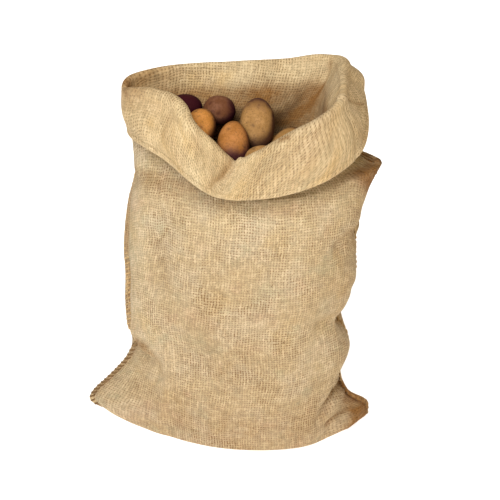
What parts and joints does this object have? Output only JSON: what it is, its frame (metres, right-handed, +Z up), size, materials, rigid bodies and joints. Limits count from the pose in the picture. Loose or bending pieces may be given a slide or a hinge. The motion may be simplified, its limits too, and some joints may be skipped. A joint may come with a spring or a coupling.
{
  "type": "hessian sack of potatoes",
  "caption": "Standing hessian sack with side seams drawn out into bottom corners, its mouth rolled down into a slanting cuff, filled with potatoes.",
  "frame": {"origin": "middle of the flat underside, on the floor", "axes": "+Z up, the open front of the cuff facing -Y, the sewn sides towards -X and +X"},
  "size_m": [0.5888, 0.333, 0.7517],
  "materials": {
    "jute": "coarse open plain weave, unbleached, matte",
    "earthy_skin": "shaded potato skins with soil on them, matte",
    "golden_skin": "thin golden potato skin with dark eyes, slightly satin",
    "ruddy_skin": "thin orange-brown potato skin, slightly satin",
    "dusky_skin": "thin purple-brown potato skin, slightly satin"
  },
  "bodies": {
    "root": {"sack_cloth": "jute", "potato_heap": "earthy_skin", "potato_a": "dusky_skin", "potato_b": "dusky_skin", "potato_c": "ruddy_skin", "potato_d": "ruddy_skin", "potato_e": "golden_skin", "potato_f": "golden_skin", "potato_g": "golden_skin", "potato_h": "ruddy_skin", "potato_i": "golden_skin", "potato_j": "ruddy_skin", "potato_k": "golden_skin", "potato_l": "golden_skin"}
  },
  "joints": []
}
